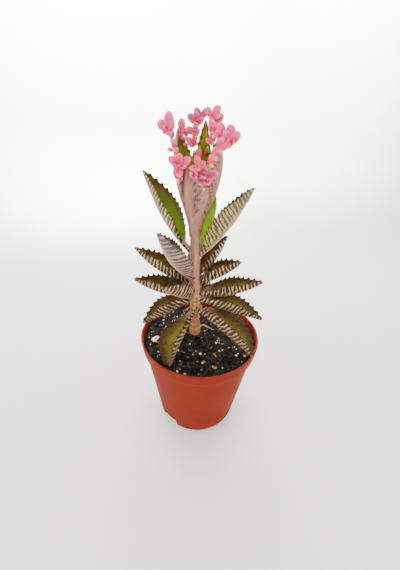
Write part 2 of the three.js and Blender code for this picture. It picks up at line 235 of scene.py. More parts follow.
def polypropylene(name):
    # injection-moulded polypropylene: an even satin terracotta colour, with a soft sheen, faint flow
    # marks round the wall and a paler scuffed lip
    material, tree, place = newMaterial(name)
    split = addNode(tree, "SeparateXYZ", {0: place})
    stretch = addNode(tree, "VectorMath", {0: place, 1: (60, 60, 420)}, operation="MULTIPLY")
    bands, clouds, grain = [
        addNode(tree, "TexNoise", {"Vector": spot, "Scale": scale, "Detail": detail})
        for spot, scale, detail in ((stretch, 1.0, 3.0), (place, 38.0, 4.0), (place, 1500.0, 2.0))]
    bandShare = addNode(tree, "MapRange", {0: bands, 1: 0.35, 2: 0.7, 3: 0.0, 4: 0.3})
    dustShare = addNode(tree, "MapRange", {0: clouds, 1: 0.5, 2: 0.8, 3: 0.0, 4: 0.10})
    lipShare = addNode(tree, "MapRange", {
        0: split.outputs["Z"], 1: (pot["height"] - 0.9) * mm, 2: (pot["height"] - 0.1) * mm,
        3: 0.0, 4: 0.5})
    colour = pot["colour"]
    for share, shade in ((bandShare, "deep"), (dustShare, "dust"), (lipShare, "pale")):
        colour = addNode(tree, "Mix", {"Factor": share, 6: colour, 7: pot[shade]})
    roughness = addNode(tree, "MapRange", {0: clouds, 1: 0.3, 2: 0.7, 3: 0.5, 4: 0.65})
    bump = addNode(tree, "Bump", {"Height": grain, "Strength": 0.12, "Distance": 0.0002})
    shader = addNode(tree, "BsdfPrincipled", {
        "Base Color": colour, "Roughness": roughness, "IOR": 1.49, "Specular IOR Level": 0.015,
        "Normal": bump})
    addNode(tree, "OutputMaterial", {0: shader})
    return material


def notchDistances(angle, radius):
    # from a point of the wall to the middle of each notch, in millimetres round the pot
    for notch in pot["notchAngles"]:
        yield abs(math.radians((math.degrees(angle) - notch + 180) % 360 - 180)) * radius


def makePot():
    height, rim, shoulder = pot["height"], pot["rimRadius"], pot["shoulderRadius"]
    step = height - pot["collarHeight"]
    wall = pot["wall"]
    outer = [(31.5, 0), (32.6, 0.02), (34.0, 0.25), (35.4, 0.9), (36.5, 1.9), (37.2, 3.2), (37.7, 4.6)]
    for z in (*range(6, 15), 24, 36, 48, 60, 70, 76, 79.6):
        outer.append((37.7 + (shoulder - 37.7) * (z - 4.6) / (step - 4.6), z))
    outer += [(shoulder, step - 0.6), (shoulder + 0.2, step - 0.1), (shoulder + 0.9, step + 0.5),
              (rim - 1.8, step + 1.2), (rim - 1.3, step + 2.0), (rim - 1.15, step + 3.0)]
    outer += [(rim - 1.0, step + 4), (rim - 0.7, step + 7.5), (rim - 0.45, height - 2.4),
              (rim - 0.15, height - 1.9), (rim, height - 1.3), (rim - 0.02, height - 0.6),
              (rim - 0.3, height - 0.15), (rim - 0.75, height), (rim - 1.25, height - 0.12),
              (rim - 1.6, height - 0.5)]
    inner = [(rim - 1.9, height - 1.2), (rim - 2.2, height - 5), (rim - 2.7, step + 2.0),
             (shoulder - wall, step - 0.4)]
    for z in (76, 68, 56, 44, 32, 22, 15, *range(13, 5, -1)):
        inner.append((36.2 + (shoulder - wall - 36.2) * (z - 5) / (step - 5), z))
    inner += [(35.9, 4.4), (35.2, 3.2), (33.8, 2.5), (31.5, 2.2)]
    profile = outer + inner
    count = pot["segments"]
    points = []
    for index, (radius, z) in enumerate(profile):
        inside = index >= len(outer)
        for segment in range(count):
            angle = 2 * math.pi * segment / count
            reach = radius
            for across in notchDistances(angle, radius):
                side = 1 - smoothStep(pot["notchHalfWidth"] - 1.0, pot["notchHalfWidth"] + 0.9, across)
                top = pot["notchHeight"] + (wall if inside else 0)
                rise = 1 - smoothStep(top - 3.2, top, z)
                reach -= pot["notchDepth"] * side * rise
            points.append((reach * math.cos(angle) * mm, reach * math.sin(angle) * mm, z * mm))
    points += [(0, 0, 0), (0, 0, 2.2 * mm)]
    faces = tubeFaces(len(profile), count)
    makePiece("pot", points, faces, polypropylene("mouldedPolypropylene"), ["pot"])


print("pot")
makePot()


# ---- soil

soil = {
    "top": 88.4, "radius": 49.55, "rings": 70, "segments": 200, "seed": 11,
    # the darkest colour is painted shade for small hollows in the peat
    "peat": "#0A0704", "crumb": "#1B130C", "hollowShade": "#060403",
    "crumbCount": 1700, "perliteCount": 150, "barkCount": 70, "grainReach": 47.2, "stemClear": 5.5,
}
plant = {"crownX": -4.5, "crownY": 4.2, "lean": -0.028, "leanFrom": 85}


def soilHeight(x, y):
    # millimetres: a low crown with lumps, dipping to the pot's wall
    radius = math.hypot(x, y)
    base = soil["top"] + 0.3 - 0.9 * (radius / 49) ** 2
    lumps = 1.3 * noise.noise(Vector((x * 0.11, y * 0.11, 3.1)))
    fine = 0.8 * noise.noise(Vector((x * 0.38, y * 0.38, 8.2)))
    return base + lumps + fine


def peatMaterial(name):
    # moist peat mix: near-black and matt, with brown fibres showing where it dries, and dark spots
    # painted as the shade of small hollows
    material, tree, place = newMaterial(name)
    coarse, fine = [addNode(tree, "TexNoise", {"Vector": place, "Scale": scale, "Detail": detail})
                    for scale, detail in ((260.0, 5.0), (1400.0, 3.0))]
    cells = addNode(tree, "TexVoronoi", {"Vector": place, "Scale": 520.0})
    dryShare = addNode(tree, "MapRange", {0: coarse, 1: 0.45, 2: 0.72})
    # painted shade: dark spots stand in for the shade in small hollows, which the surface itself does
    # not have
    hollowShadeShare = addNode(tree, "MapRange", {0: cells, 1: 0.0, 2: 0.5, 3: 0.8, 4: 0.0})
    brown = addNode(tree, "Mix", {"Factor": dryShare, 6: soil["peat"], 7: soil["crumb"]})
    dark = addNode(tree, "Mix", {"Factor": hollowShadeShare, 6: brown, 7: soil["hollowShade"]})
    relief = addNode(tree, "Math", {0: coarse, 1: fine}, operation="ADD")
    bump = addNode(tree, "Bump", {"Height": relief, "Strength": 0.9, "Distance": 0.0012})
    shader = addNode(tree, "BsdfPrincipled", {
        "Base Color": dark, "Roughness": 0.92, "Specular IOR Level": 0.1, "Normal": bump})
    addNode(tree, "OutputMaterial", {0: shader})
    return material


def grainMaterial(name, light, dark, roughness, scale):
    # loose grains: each takes its own shade from its shade attribute, with a fine broken surface
    material, tree, place = newMaterial(name)
    shade = addNode(tree, "Attribute", attribute_name="shade")
    pattern = addNode(tree, "TexNoise", {"Vector": place, "Scale": scale, "Detail": 4.0})
    lift = addNode(tree, "MapRange", {0: pattern, 1: 0.3, 2: 0.7, 3: -0.25, 4: 0.25})
    total = addNode(tree, "Math", {0: shade.outputs["Fac"], 1: lift}, operation="ADD", use_clamp=True)
    colour = addNode(tree, "Mix", {"Factor": total, 6: dark, 7: light})
    bump = addNode(tree, "Bump", {"Height": pattern, "Strength": 0.5, "Distance": 0.0004})
    shader = addNode(tree, "BsdfPrincipled", {
        "Base Color": colour, "Roughness": roughness, "Normal": bump})
    addNode(tree, "OutputMaterial", {0: shader})
    return material


def makeSoil():
    profile = [(49.3, 83.6), (48.9, 81.6), (47.0, 79.6), (44.5, 60), (40.5, 34), (37.0, 12),
               (35.6, 6), (34, 3.4), (31, 2.6)]
    count = soil["segments"]
    points, rings = [], soil["rings"]
    for ring in range(1, rings + 1):
        radius = soil["radius"] * (ring / rings) ** 0.9
        for segment in range(count):
            angle = 2 * math.pi * segment / count
            x, y = radius * math.cos(angle), radius * math.sin(angle)
            points.append((x * mm, y * mm, soilHeight(x, y) * mm))
    for radius, z in profile:
        for segment in range(count):
            angle = 2 * math.pi * segment / count
            reach = radius
            for across in notchDistances(angle, radius):
                if z < 18 and across < pot["notchHalfWidth"] + 4:
                    reach = radius - pot["notchDepth"] - 1
            points.append((reach * math.cos(angle) * mm, reach * math.sin(angle) * mm, z * mm))
    points += [(0, 0, soilHeight(0, 0) * mm), (0, 0, 2.6 * mm)]
    faces = tubeFaces(rings + len(profile), count, turned=True)
    makePiece("soil", points, faces, peatMaterial("dampPeat"), ["soil"])


def unitBlob(detail):
    blob = bmesh.new()
    bmesh.ops.create_icosphere(blob, subdivisions=detail, radius=1.0)
    points = np.array([v.co[:] for v in blob.verts])
    faces = np.array([[v.index for v in f.verts] for f in blob.faces])
    blob.free()
    return points, faces


def scatterGrains(name, count, sizes, squash, material, sink, dice):
    # irregular grains lying on the soil's surface, all in one piece
    basePoints, baseFaces = unitBlob(1)
    allPoints, allFaces, shades, places = [], [], [], []
    while len(places) < count:
        radius = soil["grainReach"] * math.sqrt(dice.random())
        angle = dice.random() * 2 * math.pi
        x, y = radius * math.cos(angle), radius * math.sin(angle)
        if math.hypot(x - plant["crownX"], y - plant["crownY"]) < soil["stemClear"]:
            continue
        places.append((x, y, dice.uniform(*sizes) * dice.uniform(0.6, 1.0)))
    for x, y, size in places:
        shape = np.array([1.0, dice.uniform(*squash), dice.uniform(*squash)]) * size / 2
        lumps = np.array([1 + dice.uniform(-0.28, 0.28) for _ in range(len(basePoints))])[:, None]
        turn = Matrix.Rotation(dice.random() * 2 * math.pi, 3, "Z")
        spin = turn @ Matrix.Rotation(dice.uniform(-0.7, 0.7), 3, "X")
        points = (basePoints * lumps * shape) @ np.array(spin).T
        points += np.array([x, y, soilHeight(x, y) + size * sink])
        allFaces.append(baseFaces + sum(len(p) for p in allPoints))
        allPoints.append(points)
        shades.append(np.full(len(points), dice.random()))
    points = np.concatenate(allPoints) * mm
    makePiece(name, points, np.concatenate(allFaces), material,
              attributes={"shade": np.concatenate(shades)}, smooth=False)


print("soil")
makeSoil()
soilDice = random.Random(soil["seed"])
scatterGrains("soil_crumbs", soil["crumbCount"], (1.0, 3.4), (0.5, 1.0),
              grainMaterial("peatCrumbs", "#261B11", "#070504", 0.95, 900), 0.18, soilDice)
scatterGrains("soil_perlite", soil["perliteCount"], (0.9, 2.5), (0.6, 1.0),
              grainMaterial("expandedPerlite", "#E6DFCF", "#A89C86", 0.85, 1200), 0.28, soilDice)
scatterGrains("soil_bark", soil["barkCount"], (2.0, 5.5), (0.25, 0.55),
              grainMaterial("shreddedBark", "#A5713F", "#3E2616", 0.85, 700), 0.16, soilDice)


# ---- stem

stem = {
    "rings": [(74, 3.2), (80, 3.8), (86, 4.4), (89, 4.8), (92, 5.0), (95, 4.8), (99, 4.4), (104, 4.15),
              (112, 4.0), (118, 4.0), (123, 4.3), (127, 4.7), (131, 4.7), (136, 4.4), (142, 4.15),
              (150, 4.05), (165, 4.0), (180, 3.8), (190, 3.1), (202, 2.3), (218, 1.9), (229, 1.5)],
    "sides": 48, "scars": (96, 101, 107, 113, 118.5, 123, 127, 131, 135, 141, 147, 166, 181),
    "cork": "#94502C", "corkPale": "#A2744A", "corkDark": "#743F22", "scar": "#D8AE80",
    "mauve": "#A06654", "mauvePale": "#B07C68", "mauveDark": "#8A5A52",
}


def stemCentre(z):
    return np.array([plant["crownX"] + plant["lean"] * (z - plant["leanFrom"]), plant["crownY"], z])


def stemMaterial(name):
    # a fleshy succulent stem: corky orange-brown skin with ring-shaped leaf scars at the foot, turning
    # to smooth waxy mauve skin above
    material, tree, place = newMaterial(name)
    height = addNode(tree, "SeparateXYZ", {0: place}).outputs["Z"]
    scarAttribute = addNode(tree, "Attribute", attribute_name="scar").outputs["Fac"]
    streakPlace = addNode(tree, "VectorMath", {0: place, 1: (900, 900, 160)}, operation="MULTIPLY")
    streaks, blotches, specks = [
        addNode(tree, "TexNoise", {"Vector": spot, "Scale": scale, "Detail": detail})
        for spot, scale, detail in ((streakPlace, 1.0, 4.0), (place, 240.0, 4.0), (place, 1100.0, 3.0))]
    paleShare = addNode(tree, "MapRange", {0: blotches, 1: 0.35, 2: 0.68})
    streakShare = addNode(tree, "MapRange", {0: streaks, 1: 0.5, 2: 0.75, 3: 0.0, 4: 0.75})
    speckShare = addNode(tree, "MapRange", {0: specks, 1: 0.62, 2: 0.74, 3: 0.0, 4: 0.7})
    cork, skin = stem["cork"], stem["mauve"]
    for share, shade in ((paleShare, "corkPale"), (streakShare, "corkDark"), (scarAttribute, "scar")):
        cork = addNode(tree, "Mix", {"Factor": share, 6: cork, 7: stem[shade]})
    for share, shade in ((paleShare, "mauvePale"), (speckShare, "mauveDark")):
        skin = addNode(tree, "Mix", {"Factor": share, 6: skin, 7: stem[shade]})
    wander = addNode(tree, "Math", {0: blotches, 1: 0.02, 2: height}, operation="MULTIPLY_ADD")
    upper = addNode(tree, "MapRange", {0: wander, 1: 0.134, 2: 0.150})
    colour = addNode(tree, "Mix", {"Factor": upper, 6: cork, 7: skin})
    roughness = addNode(tree, "MapRange", {0: upper, 3: 0.75, 4: 0.5})
    bumpStrength = addNode(tree, "MapRange", {0: upper, 3: 1.0, 4: 0.25})
    relief = addNode(tree, "Math", {0: streaks, 1: bumpStrength}, operation="MULTIPLY")
    bump = addNode(tree, "Bump", {"Height": relief, "Strength": 0.8, "Distance": 0.0008})
    shader = addNode(tree, "BsdfPrincipled", {
        "Base Color": colour, "Roughness": roughness, "Normal": bump, "IOR": 1.42,
        "Subsurface Weight": 0.08, "Subsurface Radius": (0.003, 0.0015, 0.001)})
    addNode(tree, "OutputMaterial", {0: shader})
    return material


def makeStem():
    heights = np.arange(stem["rings"][0][0], stem["rings"][-1][0] + 0.01, 0.75)
    radii = np.interp(heights, [r[0] for r in stem["rings"]], [r[1] for r in stem["rings"]])
    sides = stem["sides"]
    points, scars = [], []
    for z, radius in zip(heights, radii):
        centre = stemCentre(z)
        ridge = sum(math.exp(-((z - s) / 0.9) ** 2) for s in stem["scars"])
        groove = sum(math.exp(-((z - s - 1.9) / 0.8) ** 2) for s in stem["scars"])
        rough = 1 if z < 138 else 0.25
        for side in range(sides):
            angle = 2 * math.pi * side / sides
            x, y = math.cos(angle), math.sin(angle)
            bulge = noise.noise(Vector((x * 1.6, y * 1.6, z * 0.16)))
            local = 0.5 + 0.5 * noise.noise(Vector((x * 1.2 + 5, y * 1.2, z * 0.3)))
            reach = radius + rough * (0.45 * bulge + 0.42 * ridge * local - 0.22 * groove)
            points.append((centre + np.array([x, y, 0]) * reach) * mm)
            scars.append(min(1.0, ridge * local * (1.0 if z > 118 else 0.6)))
    points += [stemCentre(heights[0] - 1) * mm, stemCentre(heights[-1] + 1.2) * mm]
    scars += [0, 0]
    faces = tubeFaces(len(heights), sides)
    makePiece("stem", points, faces, stemMaterial("succulentStem"), ["stem"],
              attributes={"scar": scars})


print("stem")
makeStem()


rootlets = {
    "onStem": [(118, 205, 11), (121, 335, 12), (124, 250, 9), (126, 20, 9), (128, 292, 10),
               (131, 215, 9), (133, 335, 9), (122, 100, 9), (129, 150, 9), (116, 280, 9),
               (120, 305, 10), (127, 232, 10)],
    "radius": 0.7, "sides": 8, "steps": 12, "colour": "#9A6A44", "dark": "#5E3822",
}
# one thin fresh root over the soil, and a curled flake of pale papery skin lying on it
runner = {"x": -1.0, "y": 12, "length": 13.5, "drift": 3.0, "wave": 1.6, "arch": 1.6, "steps": 24,
          "thick": 0.6, "thin": 0.3, "colour": "#C98A7A", "dark": "#9A5C4E"}
flake = {"x": -38.5, "y": -8.5, "reach": 3.4, "radius": 0.95, "strands": 3, "steps": 16,
         "colour": "#EDE6D8", "dark": "#B8AC98"}


def taperedTube(path, radii, sides):
    # a closed round tube along a path of points, in millimetres
    points = []
    for index, (place, radius) in enumerate(zip(path, radii)):
        ahead = path[min(index + 1, len(path) - 1)] - path[max(index - 1, 0)]
        ahead = ahead / np.linalg.norm(ahead)
        level = np.cross(ahead, [0.13, 0.21, 0.97])
        level = level / np.linalg.norm(level)
        other = np.cross(ahead, level)
        for step in range(sides):
            angle = 2 * math.pi * step / sides
            points.append((place + (level * math.cos(angle) + other * math.sin(angle)) * radius) * mm)
    points += [path[0] * mm, path[-1] * mm]
    return points, tubeFaces(len(path), sides)


def makeTubes(name, tubes, material, shade):
    points, faces = [], []
    for tubePoints, tubeFaceList in tubes:
        faces += [tuple(i + len(points) for i in f) for f in tubeFaceList]
        points += tubePoints
    makePiece(name, points, faces, material, attributes={"shade": [shade] * len(points)})


def makeRootlets():
    # short dry aerial roots where the lowest leaves join the stem, then the two pieces on the soil
    dice = random.Random(31)
    tubes = []
    for height, azimuthDegrees, length in rootlets["onStem"]:
        outward, sideways = levelPair(math.radians(azimuthDegrees))
        sideways = sideways * dice.uniform(-0.4, 0.4)
        start = stemCentre(height) + outward * 3.9
        path, radii = [], []
        for step in range(rootlets["steps"]):
            t = step / (rootlets["steps"] - 1)
            drop = np.array([0, 0, -0.55 * length * t ** 1.8])
            path.append(start + (outward * (0.7 * t) + sideways * t * t) * length * 0.8 + drop)
            radii.append(rootlets["radius"] * (1.25 - 0.95 * t))
        tubes.append(taperedTube(path, radii, rootlets["sides"]))
    material = grainMaterial("dryRootSkin", rootlets["colour"], rootlets["dark"], 0.8, 600)
    makeTubes("stem_rootlets", tubes, material, 0.6)
    path, count = [], runner["steps"]
    for step in range(count):
        t = step / (count - 1)
        x = runner["x"] + runner["length"] * t
        y = runner["y"] - runner["drift"] * t + runner["wave"] * math.sin(t * 5)
        rise = 0.5 + runner["arch"] * math.sin(math.pi * t)
        path.append(np.array([x, y, soilHeight(x, y) + rise]))
    tube = taperedTube(path, np.linspace(runner["thick"], runner["thin"], count), rootlets["sides"])
    material = grainMaterial("freshRootSkin", runner["colour"], runner["dark"], 0.6, 500)
    makeTubes("soil_rootlet", [tube], material, 0.6)
    tubes, count = [], flake["steps"]
    for turn in range(flake["strands"]):
        path, radii = [], []
        for step in range(count):
            angle = math.radians(40 + 95 * turn + 13 * step)
            reach = flake["reach"] - turn
            x, y = flake["x"] + reach * math.cos(angle), flake["y"] + reach * math.sin(angle)
            path.append(np.array([x, y, soilHeight(x, y) + 0.9 + 0.35 * turn]))
            radii.append(flake["radius"] * math.sin(math.pi * (step + 1) / (count + 1)) ** 0.5)
        tubes.append(taperedTube(path, radii, rootlets["sides"]))
    material = grainMaterial("dryPaperySkin", flake["colour"], flake["dark"], 0.8, 500)
    makeTubes("soil_flake", tubes, material, 0.8)


makeRootlets()


# ---- leaves

leafShape = {
    "offset": 4.0, "thickness": 2.3, "rows": 132, "columns": 11, "toothPitch": 4.3, "seed": 5,
}

# measures stored on each leaf's points for its material to read
leafMarks = ("alongMm", "acrossMm", "alongShare", "edge", "face", "tooth", "twist", "smoke")

# angles in degrees and lengths in millimetres; rise and bend arch the blade, vee and curl fold it
# (35 unless given), roll turns it on its own line, and its look is olive unless given; each row
# has the six measures in order, then what else differs
leafMeasures = ("height", "azimuth", "rise", "bend", "length", "width")
leafTable = {
    "tier1_front_left": (113, 247, -15, -32, 51, 18.5, dict(vee=33, roll=28, belly=1.3)),
    "tier1_front_right": (116, -42, -8, -10, 62, 19, dict(vee=32, roll=-20, belly=1.0)),
    "tier1_back_right": (117, 58, -5, 15, 42, 12, {}),
    "tier1_back_left": (118, 122, -5, 15, 44, 12, {}),
    "tier2_left": (126, 200, -26, 8, 46, 15, dict(vee=38, roll=10)),
    "tier2_right": (126, -22, -7, 8, 56, 15, dict(vee=38, roll=-6)),
    "tier3_front_left": (128, 228, 21, 28, 41, 16, dict(vee=42)),
    "tier3_left": (131, 194, -1, 45, 51, 15, {}),
    "tier3_right": (131, -17, 3, 42, 57, 15, {}),
    "tier3_back_right": (135, 44, 5, 20, 26, 9, {}),
    "tier4_left": (141, 182, 13, 42, 55, 14.5, {}),
    "tier4_right": (142, -10, 18, 34, 41, 14, {}),
    "tier4_back": (138, 100, 15, 20, 36, 11, {}),
    "tier5_front_left": (146, 218, 33, 45, 55, 18, dict(vee=34, roll=-14, stalk=0.1, look="dusky")),
    "tier5_back_right": (148, 22, 36, 35, 40, 12, dict(curl=40)),
    "tier6_left": (167, 178, 46, 28, 69, 16, dict(vee=30, roll=-14, stalk=0.16, look="green")),
    "tier6_right": (165, -13, 43, 28, 66, 17, dict(vee=32, curl=38, stalk=0.12, look="green")),
    "tier6_back": (165, 42, 69, 12, 54, 15, dict(vee=12, curl=30, stalk=0.1, look="lime")),
    "top_left": (180, 154, 63, 48, 74, 15.5, dict(
        upright=16, power=2.2, vee=24, curl=26, roll=4, stalk=0.2, stalkWidth=0.3, belly=1.35,
        smoothTo=0.5, look="mauve")),
    "top_back": (182, 66, 73, 35, 76, 9.5, dict(
        power=2, vee=20, curl=40, stalk=0.16, stalkWidth=0.35, belly=1, look="mauve")),
    "top_right": (180, -2, 60, 56, 70, 16.5, dict(
        upright=26, power=2.2, vee=28, curl=30, roll=-8, stalk=0.24, stalkWidth=0.28, belly=1.4,
        look="mauve")),
    "top_front": (181, 209, 66, 28, 51, 18.5, dict(
        upright=20, vee=18, curl=24, roll=20, stalk=0.2, stalkWidth=0.3, belly=1.25,
        smoothTo=0.5, smoke=1, look="mauve")),
}

# face is the upper side, back the lower; bars are the dark bands across the back
leafLooks = {
    "olive": dict(
        slot="leaf_olive", face="#584612", faceLight="#7A6E1E", faceEdge="#402912", tip="#3E2614",
        back="#B09666", keel="#8C6854", bar="#22151A", barSoft="#402C2A", barShare=0.66, ragged=2.1,
        slant=-0.45, pitch=3.3, tooth=1.9, toothColour="#160B08", keelStart=0.06, barStart=0.14,
        browning=0.64, spots=0.9, tipStart=0.85),
    "dusky": dict(
        slot="leaf_mauve", face="#5B4218", faceLight="#6E5826", faceEdge="#4A2C16", tip="#4A2E18",
        back="#B08874", keel="#BC8E80", bar="#34303A", barSoft="#565054", barShare=0.64, ragged=1.9,
        slant=0.1, pitch=3.2, tooth=1.6, toothColour="#1E100C", keelStart=0.12, barStart=0.24,
        browning=0.85, spots=0.6, tipStart=0.7),
    "green": dict(
        slot="leaf_green", face="#486604", faceLight="#648208", faceEdge="#4C3C0C", tip="#463010",
        back="#AA965E", keel="#AE8270", bar="#342E28", barSoft="#5C5040", barShare=0.58, ragged=3.2,
        slant=-0.6, pitch=3.1, tooth=1.7, toothColour="#1C0F09", keelStart=0.15, barStart=0.28,
        browning=0.95, spots=0.3, tipStart=0.66),
    "lime": dict(
        slot="leaf_green", face="#8CB40A", faceLight="#A6CA14", faceEdge="#76800E", tip="#6A4E1A",
        back="#AA965E", keel="#AE8270", bar="#342E28", barSoft="#605440", barShare=0.56, ragged=2.4,
        slant=-0.45, pitch=3.1, tooth=1.5, toothColour="#28160C", keelStart=0.15, barStart=0.28,
        browning=1.1, spots=0.15, tipStart=0.9),
    "mauve": dict(
        slot="leaf_mauve", face="#6E8210", faceLight="#8CA022", faceEdge="#66562A", tip="#5A482C",
        back="#9C705E", keel="#A07262", bar="#3A2E34", barSoft="#66545A", barShare=0.23, ragged=5.2,
        slant=-1.1, pitch=4.6, breaks=0.42, tooth=1.0, toothColour="#20120E", keelStart=0.2,
        barStart=0.35, browning=1.15, spots=0.3, tipStart=0.85, stalkEnd=0.42),
}


def leafMaterial(name, look):
    # a succulent leaf with a thin wax bloom: satin, a little light shining through the margins,
    # colour from the cells under the skin: green face, pale back with dark anthocyanin bars
    material, tree, place = newMaterial(name)
    read = {key: addNode(tree, "Attribute", attribute_name=key).outputs["Fac"] for key in leafMarks}
    cloud, mottle, fine = [
        addNode(tree, "TexNoise", {"Vector": place, "Scale": scale, "Detail": detail})
        for scale, detail in ((130.0, 4.0), (700.0, 4.0), (2600.0, 2.0))]
    # face: lighter in cloudy patches, browning to the margin and the tip; the stalk is coloured like
    # the back, and dark freckles thicken toward the margin
    middle = addNode(tree, "MapRange", {0: cloud, 1: 0.35, 2: 0.65})
    edgeWander = addNode(tree, "Math", {0: cloud, 1: 0.7, 2: read["edge"]}, operation="MULTIPLY_ADD")
    edgeShare = addNode(tree, "MapRange", {
        0: edgeWander, 1: look["browning"], 2: look["browning"] + 0.5, 3: 0.0, 4: 0.9})
    tipWander = addNode(tree, "Math", {
        0: cloud, 1: 0.35, 2: read["alongShare"]}, operation="MULTIPLY_ADD")
    tipShare = addNode(tree, "MapRange", {
        0: tipWander, 1: look["tipStart"], 2: look["tipStart"] + 0.35, 3: 0.0, 4: 0.9})
    stalkEnd = look.get("stalkEnd", 0.1)
    stalkShare = addNode(tree, "MapRange", {
        0: read["alongShare"], 1: stalkEnd, 2: stalkEnd + 0.14, 3: 1.0, 4: 0.0})
    freckles = addNode(tree, "TexVoronoi", {"Vector": place, "Scale": 620.0, "Randomness": 1.0})
    dots = addNode(tree, "MapRange", {0: freckles, 1: 0.22, 2: 0.42, 3: look["spots"], 4: 0.0})
    outward = addNode(tree, "MapRange", {0: read["edge"], 1: 0.35, 2: 0.85, 3: 0.1, 4: 1.0})
    spots = addNode(tree, "Math", {0: dots, 1: outward}, operation="MULTIPLY")
    upperSide = look["face"]
    for share, shade in ((middle, "faceLight"), (edgeShare, "faceEdge"), (tipShare, "tip"),
                         (stalkShare, "keel"), (spots, "toothColour")):
        upperSide = addNode(tree, "Mix", {"Factor": share, 6: upperSide, 7: look[shade]})
    # back: wavering dark bars across a pale ground, none along the keel
    calmer = addNode(tree, "Math", {0: read["acrossMm"], 1: 0.4}, operation="MULTIPLY")
    barPlace = addNode(tree, "CombineXYZ", {0: read["alongMm"], 1: calmer, 2: read["twist"]})
    barNoise, barBreak = [
        addNode(tree, "TexNoise", {"Vector": barPlace, "Scale": scale, "Detail": detail})
        for scale, detail in ((0.3, 2.0), (look.get("breaks", 0.75), 3.0))]
    reach = addNode(tree, "Math", {0: read["acrossMm"]}, operation="ABSOLUTE")
    slanted = addNode(tree, "Math", {
        0: reach, 1: look["slant"], 2: read["alongMm"]}, operation="MULTIPLY_ADD")
    wavy = addNode(tree, "Math", {0: barNoise, 1: 4.0, 2: slanted}, operation="MULTIPLY_ADD")
    turns = addNode(tree, "Math", {0: wavy, 1: 2 * math.pi / look["pitch"]}, operation="MULTIPLY")
    wave = addNode(tree, "Math", {0: turns}, operation="SINE")
    uneven = addNode(tree, "Math", {0: barBreak, 1: look["ragged"], 2: wave}, operation="MULTIPLY_ADD")
    threshold = look["ragged"] / 2 + math.cos(math.pi * look["barShare"])
    bars = addNode(tree, "MapRange", {0: uneven, 1: threshold - 0.28, 2: threshold + 0.28})
    fromKeel = addNode(tree, "MapRange", {
        0: read["edge"], 1: look["keelStart"], 2: look["barStart"] + 0.12})
    notPlain = addNode(tree, "MapRange", {0: read["smoke"], 1: -0.6, 2: -0.1})
    barShareHere = addNode(tree, "Math", {0: bars, 1: fromKeel}, operation="MULTIPLY")
    barMask = addNode(tree, "Math", {0: barShareHere, 1: notPlain}, operation="MULTIPLY")
    barColour = addNode(tree, "Mix", {"Factor": barBreak, 6: look["bar"], 7: look["barSoft"]})
    backTip = addNode(tree, "Math", {0: tipShare, 1: 0.45}, operation="MULTIPLY")
    # a smoky patch of grey streaks along the blade
    slower = addNode(tree, "Math", {0: read["alongMm"], 1: 0.22}, operation="MULTIPLY")
    streakPlace = addNode(tree, "CombineXYZ", {0: slower, 1: read["acrossMm"], 2: read["twist"]})
    streaks = addNode(tree, "TexNoise", {"Vector": streakPlace, "Scale": 0.9, "Detail": 3.0})
    streakShare = addNode(tree, "MapRange", {0: streaks, 1: 0.42, 2: 0.62, 3: 0.3, 4: 1.0})
    smokeMask = addNode(tree, "Math", {
        0: streakShare, 1: read["smoke"]}, operation="MULTIPLY", use_clamp=True)
    underSide = look["keel"]
    for share, shade in ((fromKeel, look["back"]), (barMask, barColour), (backTip, look["barSoft"]),
                         (smokeMask, look["bar"])):
        underSide = addNode(tree, "Mix", {"Factor": share, 6: underSide, 7: shade})
    # join the sides, then the dark rim and teeth
    sides = addNode(tree, "Mix", {"Factor": read["face"], 6: underSide, 7: upperSide})
    finished = addNode(tree, "Mix", {"Factor": read["tooth"], 6: sides, 7: look["toothColour"]})
    relief = addNode(tree, "Math", {0: mottle, 1: 0.5, 2: fine}, operation="MULTIPLY_ADD")
    bump = addNode(tree, "Bump", {"Height": relief, "Strength": 0.25, "Distance": 0.0003})
    roughness = addNode(tree, "MapRange", {0: mottle, 1: 0.3, 2: 0.7, 3: 0.42, 4: 0.6})
    shader = addNode(tree, "BsdfPrincipled", {
        "Base Color": finished, "Roughness": roughness, "Normal": bump, "IOR": 1.42,
        "Specular IOR Level": 0.14, "Subsurface Weight": 0.12,
        "Subsurface Radius": (0.0025, 0.003, 0.001)})
    addNode(tree, "OutputMaterial", {0: shader})
    return material


def bladeWidth(along, stalk, stalkWidth, belly):
    if along <= stalk:
        return stalkWidth
    t = (along - stalk) / (1 - stalk)
    neck = stalkWidth * (1 - t) ** 1.5
    body = max(math.sin(math.pi * t ** belly), 0) ** 0.85 * (1 - 0.15 * t)
    return neck + body * (1 - neck)


def toothAt(phase):
    # one forward-leaning tooth per turn: slow rise, sharp point, quick fall to a notch
    if phase < 0.62:
        return (phase / 0.62) ** 1.6
    if phase < 0.80:
        return 1 - (phase - 0.62) / 0.18
    return 0.0


